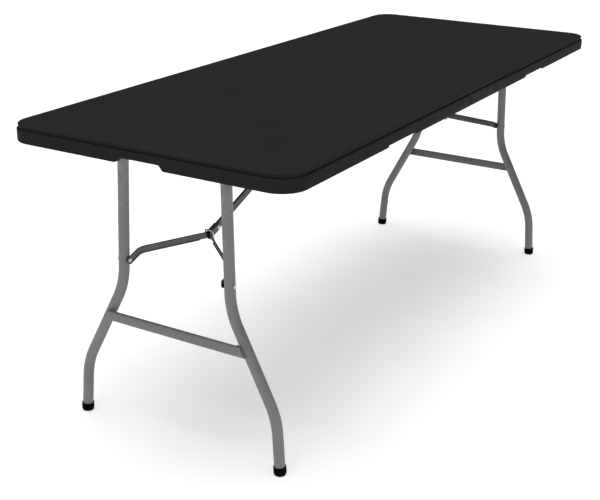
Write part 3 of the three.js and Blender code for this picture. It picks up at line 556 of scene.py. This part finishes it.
def make_pin(word):
    node = f"hinge_pin_{word}"
    low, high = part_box(node)
    middle = (low + high) / 2
    half_length = (high.y - low.y) / 2
    shank = 3 * MM
    head = 2 * MM
    profile = softened([
        (0, -half_length), (5 * MM, -half_length), (5 * MM, -half_length + head),
        (shank, -half_length + head), (shank, half_length), (0, half_length),
    ], 0.6 * MM)
    pin = mesh_piece(f"centre_pin_{word}", *turned(profile, Matrix.Translation(middle), 32))
    tidy_mesh(pin)
    finished(pin, "zinc_steel", "half_a", node)


def make_rod(half):
    node = f"{half}_link_rod"
    low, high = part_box(node)
    middle = (low + high) / 2
    half_length = (high.y - low.y) / 2
    radius = 4 * MM
    profile = softened(
        [(0, -half_length), (radius, -half_length), (radius, half_length), (0, half_length)], 0.8 * MM,
    )
    rod = mesh_piece(f"{half}_cross_rod", *turned(profile, Matrix.Translation(middle), 32))
    tidy_mesh(rod)
    finished(rod, "zinc_steel", f"half_{half}", node)


def make_rails(half):
    for word in SIDES:
        rail = refined(f"{half}_side_rail_{word}", f"{half}_rail_{word}", 0.45 * MM)
        finished(rail, "steel_grey_paint", f"half_{half}", f"{half}_rail_{word}")
        leaf = refined(f"{half}_leaf_{word}", f"{half}_hinge_leaf_{word}", 0.4 * MM)
        finished(leaf, "zinc_steel", f"half_{half}", f"{half}_hinge_leaf_{word}")
        for number in (1, 2):
            make_screw(half, word, number)


# ---------------------------------------------------------------- legs

LEG_TOP_Y = 135.5 * MM
SPLAYS = (0.035, 0.525, 0.08)  # sideways per unit of drop: top, middle and foot
BENDS = (366 * MM, 136 * MM)  # heights above the floor
BEND_RADIUS = 190 * MM
CAP_SOLE = 4 * MM
CAP_WALL = 2.2 * MM
CAP_HEIGHT = 21 * MM
TOP_TUBE_END = 309 * MM  # where its tapers reach the stubs, from the middle
PIVOT_TAPER = 8 * MM
TOE_OUT = FOOT.x - PIVOT.x
LEG_TILT = math.atan2(TOE_OUT, PIVOT.z)
LEG_DROP = math.hypot(TOE_OUT, PIVOT.z)
DROP_SCALE = LEG_DROP / PIVOT.z


def leg_y(height):
    upper = PIVOT.z - max(height, BENDS[0])
    middle = max(BENDS[0] - max(height, BENDS[1]), 0)
    lower = max(BENDS[1] - height, 0)
    return LEG_TOP_Y + SPLAYS[0] * upper + SPLAYS[1] * middle + SPLAYS[2] * lower


def leg_matrix(turn):
    return turn @ Matrix.Translation(PIVOT) @ Matrix.Rotation(-LEG_TILT, 4, "Y")


def leg_route(short_by):
    """The leg's centre line in its plane, as (side, height) points from the pivot down."""
    heights = (PIVOT.z, BENDS[0], BENDS[1], 0)
    corners = [Vector((leg_y(h), (h - PIVOT.z) * DROP_SCALE)) for h in heights]
    last = (corners[3] - corners[2]).normalized()
    corners[3] -= last * short_by
    route = [corners[0]]
    for i in (1, 2):
        back = (corners[i - 1] - corners[i]).normalized()
        ahead = (corners[i + 1] - corners[i]).normalized()
        half_angle = back.angle(ahead) / 2
        reach = BEND_RADIUS / math.tan(half_angle)
        start = corners[i] + back * reach
        end = corners[i] + ahead * reach
        centre = corners[i] + (back + ahead).normalized() * (BEND_RADIUS / math.sin(half_angle))
        sweep = (start - centre).angle_signed(end - centre)
        steps = 20
        for step in range(steps + 1):
            angle = -sweep * step / steps
            arm = start - centre
            route.append(centre + Vector((
                arm.x * math.cos(angle) - arm.y * math.sin(angle),
                arm.x * math.sin(angle) + arm.y * math.cos(angle),
            )))
    route.append(corners[3])
    return route


def route_frames(route):
    """Each route point with the unit vector across the route in its plane."""
    frames = []
    for i, point in enumerate(route):
        along = (route[min(i + 1, len(route) - 1)] - route[max(i - 1, 0)]).normalized()
        frames.append((point, Vector((-along.y, along.x)), along))
    return frames


def tube_ring(point, across, radius, side, count):
    ring = []
    for x, offset in circle(radius, count):
        place = point + across * offset
        ring.append(Vector((x, side * place.x, place.y)))
    return ring


def coped_ring(point, along, across, radius, side, count):
    """The tube's top, cut to sit on the round cross tube."""
    ring = []
    for x, offset in circle(radius, count):
        place = point + across * offset
        height = -math.sqrt((TUBE_RADIUS + GAP) ** 2 - x * x)
        slide = (height - place.y) / along.y
        place = place + along * slide
        ring.append(Vector((x, side * place.x, place.y)))
    return ring


def bead(path, radius, count=10, closed=False, seed=0.0):
    """A weld bead along a path, a little uneven."""
    rings = []
    for i, point in enumerate(path):
        if closed:
            ahead = path[(i + 1) % len(path)] - path[i - 1]
        else:
            ahead = path[min(i + 1, len(path) - 1)] - path[max(i - 1, 0)]
        ahead.normalize()
        reference = Vector((1, 0, 0)) if abs(ahead.x) < 0.8 else Vector((0, 1, 0))
        first = ahead.cross(reference).normalized()
        second = ahead.cross(first)
        lump = 1 + 0.22 * noise.noise(point * 260 + Vector((seed, 0, 0)))
        taper = 1.0
        if not closed:
            taper = math.sin(math.pi * (i + 0.6) / (len(path) + 0.2)) ** 0.5
        rings.append([point + (first * a + second * b) * lump * taper for a, b in circle(radius, count)])
    return rings


def append(shape, rings, closed=False, capped=False):
    verts, faces = shape
    more_verts, more_faces = skin(rings, closed, capped, first_index=len(verts))
    return verts + more_verts, faces + more_faces


def make_leg_tube(half, turn, word):
    side = SIDES[word]
    matrix = leg_matrix(turn)
    count = 40
    frames = route_frames(leg_route(CAP_SOLE + 0.2 * MM))
    top_point, top_across, top_along = frames[0]
    rings = [coped_ring(top_point, top_along, top_across, TUBE_RADIUS, side, count)]
    rings += [tube_ring(p, a, TUBE_RADIUS, side, count) for p, a, _ in frames[1:]]
    bore = TUBE_RADIUS - TUBE_WALL
    rings += [tube_ring(p, a, bore, side, count) for p, a, _ in reversed(frames[1:])]
    rings.append(coped_ring(top_point, top_along, top_across, bore, side, count))
    shape = skin(rings, closed=True)
    saddle = coped_ring(top_point, top_along, top_across, TUBE_RADIUS + 0.2 * MM, side, 56)
    saddle = [v + Vector((0, 0, -0.5 * MM)) for v in saddle]
    # The weld is dressed flush where the folded leg would touch the plate.
    flush = TUBE_RADIUS + 0.25 * MM
    weld = [
        [Vector((max(-flush, min(flush, v.x)), v.y, v.z)) for v in ring]
        for ring in bead(saddle, 1.7 * MM, closed=True)
    ]
    verts, faces = append(shape, weld, closed=True)
    tube = mesh_piece(f"{half}_leg_{word}", [matrix @ v for v in verts], faces)
    tidy_mesh(tube, 50)
    finished(tube, "steel_grey_paint", f"legs_{half}", f"{half}_leg_tube_{word}")


def make_top_tube(half, turn):
    node = f"{half}_top_tube"
    low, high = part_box(node)
    stub_end = (high.y - low.y) / 2
    stub = 6 * MM
    taper_end = TOP_TUBE_END - PIVOT_TAPER
    stub_bore = stub - TUBE_WALL
    outer = [(stub, -stub_end), (stub, -TOP_TUBE_END), (TUBE_RADIUS, -taper_end)]
    outer += [(TUBE_RADIUS, taper_end), (stub, TOP_TUBE_END), (stub, stub_end)]
    inner = [(stub_bore, stub_end), (stub_bore, -stub_end)]
    profile = softened(outer + inner, 2.5 * MM, 4, closed=True)
    tube = mesh_piece(f"{half}_pivot_tube", *turned(profile, leg_matrix(turn), 40, closed=True))
    tidy_mesh(tube, 50)
    finished(tube, "steel_grey_paint", f"legs_{half}", node)


BAR_DEPTH = 24.4 * MM
BAR_THICKNESS = 9 * MM
BAR_HEIGHT = 283.5 * MM
BEAD_CURVE = 0.648 * MM  # a weld's ends dip by a quarter of this


def make_crossbar(half, turn):
    """A flattened tube on the outer faces of the legs, with its ends cut along them."""
    matrix = leg_matrix(turn)
    drop = (PIVOT.z - BAR_HEIGHT) * DROP_SCALE
    middle_x = TUBE_RADIUS + GAP + BAR_THICKNESS / 2
    slope = (leg_y(BAR_HEIGHT - BAR_DEPTH / 2) - leg_y(BAR_HEIGHT + BAR_DEPTH / 2)) / BAR_DEPTH
    end_y = leg_y(BAR_HEIGHT)

    def section(shrink):
        x = BAR_THICKNESS / 2 - shrink
        z = BAR_DEPTH / 2 - shrink
        return softened([(x, z), (-x, z), (-x, -z), (x, -z)], 6.5 * MM - 2 * shrink, 6, closed=True)

    def ring(shrink, side, back=0.0):
        points = []
        for x, z in section(shrink):
            y = side * (end_y - slope * z - back)
            points.append(matrix @ Vector((middle_x + x, y, z - drop)))
        return points

    soft = 0.35 * MM
    rings = [
        ring(0, -1, soft), ring(0, 1, soft),
        ring(soft, 1), ring(TUBE_WALL - soft, 1),
        ring(TUBE_WALL, 1, soft), ring(TUBE_WALL, -1, soft),
        ring(TUBE_WALL - soft, -1), ring(soft, -1),
    ]
    shape = skin(rings, closed=True)
    for side in (-1, 1):
        for z in (BAR_DEPTH / 2, -BAR_DEPTH / 2):
            y = side * (end_y - slope * z)
            path = []
            for step in range(9):
                t = step / 8 - 0.5
                x = TUBE_RADIUS + 1.1 * MM - BEAD_CURVE * t * t
                path.append(matrix @ Vector((x, y - side * 7 * MM + t * 12 * MM, z * 1.02 - drop)))
            shape = append(shape, bead(path, 1.3 * MM, seed=3.0 * side + z), capped=True)
    bar = mesh_piece(f"{half}_cross_bar", *shape)
    tidy_mesh(bar, 50)
    finished(bar, "steel_grey_paint", f"legs_{half}", f"{half}_crossbar")


def make_foot_cap(half, turn, word):
    side = SIDES[word]
    heights = (BENDS[1], 0)
    upper, foot = [Vector((leg_y(h), (h - PIVOT.z) * DROP_SCALE)) for h in heights]
    along = (foot - upper).normalized()
    lean = math.atan2(along.x, -along.y) * side
    outer = TUBE_RADIUS + CAP_WALL
    bore = TUBE_RADIUS + GAP
    profile = softened([
        (0, -1.6 * MM), (outer - 3.6 * MM, -1.6 * MM), (outer - 0.8 * MM, 2.4 * MM), (outer, 6 * MM),
        (outer, CAP_HEIGHT), (bore, CAP_HEIGHT), (bore, CAP_SOLE - GAP), (0, CAP_SOLE - GAP),
    ], 1.1 * MM, 4)
    matrix = leg_matrix(turn) @ Matrix.Translation((0, side * foot.x, foot.y))
    matrix = matrix @ Matrix.Rotation(math.pi / 2 + lean, 4, "X")
    verts, faces = turned(profile, matrix, 48)
    verts = [Vector((v.x, v.y, max(v.z, 0.0))) for v in verts]
    cap = mesh_piece(f"{half}_cap_{word}", verts, faces)
    tidy_mesh(cap, 50)
    finished(cap, "black_moulding", f"legs_{half}", f"{half}_foot_cap_{word}")


# ---------------------------------------------------------------- rivets and spacers

RIVET_HEAD = (5.5 * MM, 1.6 * MM)


def domed(start, reach):
    """A rivet head's profile, crowned from start outwards along Y."""
    radius, height = RIVET_HEAD
    points = []
    for step in range(7):
        angle = math.pi / 2 * step / 6
        rise = 0.25 + 0.75 * math.sin(angle)
        points.append((radius * math.cos(angle), start + reach * height * rise))
    return [(radius, start)] + points[:-1] + [(0, start + reach * height)]


def node_place(node):
    low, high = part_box(node)
    return (low + high) / 2, (high.y - low.y) / 2


def make_end_rivet(name, node, body, outwards):
    """A rivet with one head, on the side of its node that faces "outwards" along world Y."""
    middle, half_length = node_place(node)
    shank = 3 * MM
    face = half_length - RIVET_HEAD[1]
    profile = [(0, -half_length), (shank, -half_length), (shank, face)] + domed(face, 1)
    matrix = Matrix.Translation(middle) @ Matrix.Rotation(0 if outwards > 0 else math.pi, 4, "Z")
    rivet = mesh_piece(name, *turned(profile, matrix, 32))
    tidy_mesh(rivet)
    finished(rivet, "zinc_steel", body, node)


def make_hub_rivet(half):
    node = f"{half}_hub_rivet"
    middle, half_length = node_place(node)
    shank = 3 * MM
    face = half_length - RIVET_HEAD[1]
    far = domed(face, 1)
    near = [(r, -y) for r, y in reversed(far)]
    profile = near + [(shank, -face), (shank, face)] + far
    rivet = mesh_piece(f"{half}_hub_pin", *turned(profile, Matrix.Translation(middle), 32))
    tidy_mesh(rivet)
    finished(rivet, "zinc_steel", f"brace_{half}", node)


def make_spacer(half, word):
    node = f"{half}_arm_spacer_{word}"
    middle, half_length = node_place(node)
    bore, outer = 3.3 * MM, 8 * MM
    profile = softened(
        [(bore, -half_length), (outer, -half_length), (outer, half_length), (bore, half_length)],
        0.7 * MM, 3, closed=True,
    )
    shape = turned(profile, Matrix.Translation(middle), 36, closed=True)
    spacer = mesh_piece(f"{half}_spacer_{word}", *shape)
    tidy_mesh(spacer)
    finished(spacer, "black_moulding", f"legs_{half}", node)


# ---------------------------------------------------------------- brace, link and ring


def make_brace(half):
    for word in SIDES:
        arm = refined(f"{half}_arm_{word}", f"{half}_brace_arm_{word}", 0.4 * MM)
        finished(arm, "brace_grey_paint", f"brace_{half}", f"{half}_brace_arm_{word}")
        side = SIDES[word] * (1 if half == "b" else -1)
        make_end_rivet(f"{half}_arm_pin_{word}", f"{half}_arm_rivet_{word}", f"brace_{half}", -side)
        make_end_rivet(f"{half}_leg_pin_{word}", f"{half}_leg_rivet_{word}", f"legs_{half}", side)
        make_spacer(half, word)
    make_hub_rivet(half)
    link = refined(f"{half}_link", f"{half}_centre_link", 0.4 * MM)
    finished(link, "brace_grey_paint", f"link_{half}", f"{half}_centre_link")
    tip = refined(f"{half}_tip", f"{half}_link_tip", 0.8 * MM, 3)
    finished(tip, "black_moulding", f"link_{half}", f"{half}_link_tip")


RING_WIRE = 1.8 * MM
RING_INNER_HALF_HEIGHT = 12 * MM


def make_ring(half, turn):
    """A closed wire loop round the link, square to it."""
    node = f"{half}_lock_ring"
    low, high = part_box(node)
    middle = (low + high) / 2
    half_width = (high.y - low.y) / 2 - RING_WIRE
    down = (HUB - ROD).normalized()
    lift = Vector((down.z, 0, -down.x))
    if lift.z < 0:
        lift = -lift
    half_height = RING_INNER_HALF_HEIGHT + RING_WIRE
    corners = [
        (half_width, half_height), (-half_width, half_height),
        (-half_width, -half_height), (half_width, -half_height),
    ]
    loop = softened(corners, 6.2 * MM, 8, closed=True)
    dense = []
    for first, second in zip(loop, loop[1:] + loop[:1]):
        steps = max(1, round((second - first).length / (1.6 * MM)))
        dense += [first.lerp(second, step / steps) for step in range(steps)]
    down = turn.to_3x3() @ down
    lift = turn.to_3x3() @ lift
    across = Vector((0, 1, 0))
    rings = []
    for i, point in enumerate(dense):
        ahead = (dense[(i + 1) % len(dense)] - dense[i - 1]).normalized()
        outward = Vector((ahead.y, -ahead.x))
        centre = middle + across * point.x + lift * point.y
        ring = []
        for a, b in circle(RING_WIRE, 16):
            ring.append(centre + (across * outward.x + lift * outward.y) * a + down * b)
        rings.append(ring)
    ring_piece = mesh_piece(f"{half}_ring", *skin(rings, closed=True))
    tidy_mesh(ring_piece, 60)
    finished(ring_piece, "zinc_steel", f"ring_{half}", node)


for half, turn in HALVES.items():
    make_half_top(half, turn)
    make_rails(half)
    make_rod(half)
    make_top_tube(half, turn)
    make_crossbar(half, turn)
    for word in SIDES:
        make_leg_tube(half, turn, word)
        make_foot_cap(half, turn, word)
    make_brace(half)
    make_ring(half, turn)
for word in SIDES:
    make_pin(word)

# ---------------------------------------------------------------- floor, light and camera


def floor_material():
    material, tree, shader = new_material("studio_floor", 0.9, specular=0.1)
    tone = ramp(tree, noise_at(tree, 1.5, 3), [(0.3, 0), (0.7, 1)])
    colour = blended(tree, tone, (0.48, 0.48, 0.48), (0.5, 0.5, 0.5))
    tree.links.new(colour, shader.inputs["Base Color"])
    tree.links.new(colour, shader.inputs["Emission Color"])
    shader.inputs["Emission Strength"].default_value = 1.25
    return material


def make_floor():
    reach = 30.0
    level = -0.2 * MM  # just clear of the caps' soles
    signs = ((-1, -1), (1, -1), (1, 1), (-1, 1))
    corners = [(x * reach, y * reach, level) for x, y in signs]
    floor = mesh_piece("floor", corners, [(0, 1, 2, 3)])
    floor.data.materials.append(floor_material())


def softbox(name, place, target, size, power):
    data = bpy.data.lights.new(name, "AREA")
    data.shape = "RECTANGLE"
    data.size, data.size_y = size
    data.energy = power
    lamp = bpy.data.objects.new(name, data)
    bpy.context.scene.collection.objects.link(lamp)
    lamp.location = place
    lamp.rotation_euler = (Vector(target) - Vector(place)).to_track_quat("-Z", "Y").to_euler()


def sky_light(name, direction, spread_degrees, strength):
    """A distant light as wide as a bank of softboxes, so the whole floor is lit alike."""
    data = bpy.data.lights.new(name, "SUN")
    data.energy = strength
    data.angle = math.radians(spread_degrees)
    lamp = bpy.data.objects.new(name, data)
    bpy.context.scene.collection.objects.link(lamp)
    lamp.rotation_euler = Vector(direction).to_track_quat("-Z", "Y").to_euler()


def studio_light():
    """Pale surroundings, a wide light from above, and two softboxes at the table's near sides."""
    world = bpy.data.worlds.new("studio")
    world.use_nodes = True
    tree = world.node_tree
    background = tree.nodes["Background"]
    seen = add(tree, "ShaderNodeLightPath").outputs["Is Camera Ray"]
    strength = add(tree, "ShaderNodeMapRange", {"Value": seen, "To Min": 0.08, "To Max": 1.0})
    background.inputs["Color"].default_value = (1, 1, 1, 1)
    tree.links.new(strength.outputs[0], background.inputs["Strength"])
    bpy.context.scene.world = world
    bpy.context.scene.view_settings.view_transform = "Standard"
    sky_light("overhead", (0.0, -0.04, -1.0), 54, 3.3)
    softbox("key", (-4.2, -0.6, 2.6), (-0.3, 0, 0.5), (2.4, 2.4), 32)
    softbox("right", (-1.0, -4.0, 1.2), (-0.3, 0, 0.2), (2.0, 2.0), 12)


CAMERA_PLACE = Vector((-2.618, -1.391, 1.363))
CAMERA_YAW = math.radians(59.51)  # from +Y towards +X
CAMERA_PITCH = math.radians(21.19)  # below the horizon
CAMERA_ROLL = math.radians(0.76)
CAMERA_LENS = 66.44  # on a 36 mm sensor


def make_camera():
    forward = Vector((
        math.cos(CAMERA_PITCH) * math.sin(CAMERA_YAW),
        math.cos(CAMERA_PITCH) * math.cos(CAMERA_YAW),
        -math.sin(CAMERA_PITCH),
    ))
    right = forward.cross(Vector((0, 0, 1))).normalized()
    up = right.cross(forward)
    rolled_right = right * math.cos(CAMERA_ROLL) + up * math.sin(CAMERA_ROLL)
    rolled_up = -right * math.sin(CAMERA_ROLL) + up * math.cos(CAMERA_ROLL)
    data = bpy.data.cameras.new("camera")
    data.sensor_width = 36
    data.lens = CAMERA_LENS
    data.clip_end = 100
    camera = bpy.data.objects.new("camera", data)
    bpy.context.scene.collection.objects.link(camera)
    rotation = Matrix((rolled_right, rolled_up, -forward)).transposed()
    camera.matrix_world = Matrix.Translation(CAMERA_PLACE) @ rotation.to_4x4()
    bpy.context.scene.camera = camera


make_floor()
studio_light()
make_camera()

bpy.context.view_layer.update()
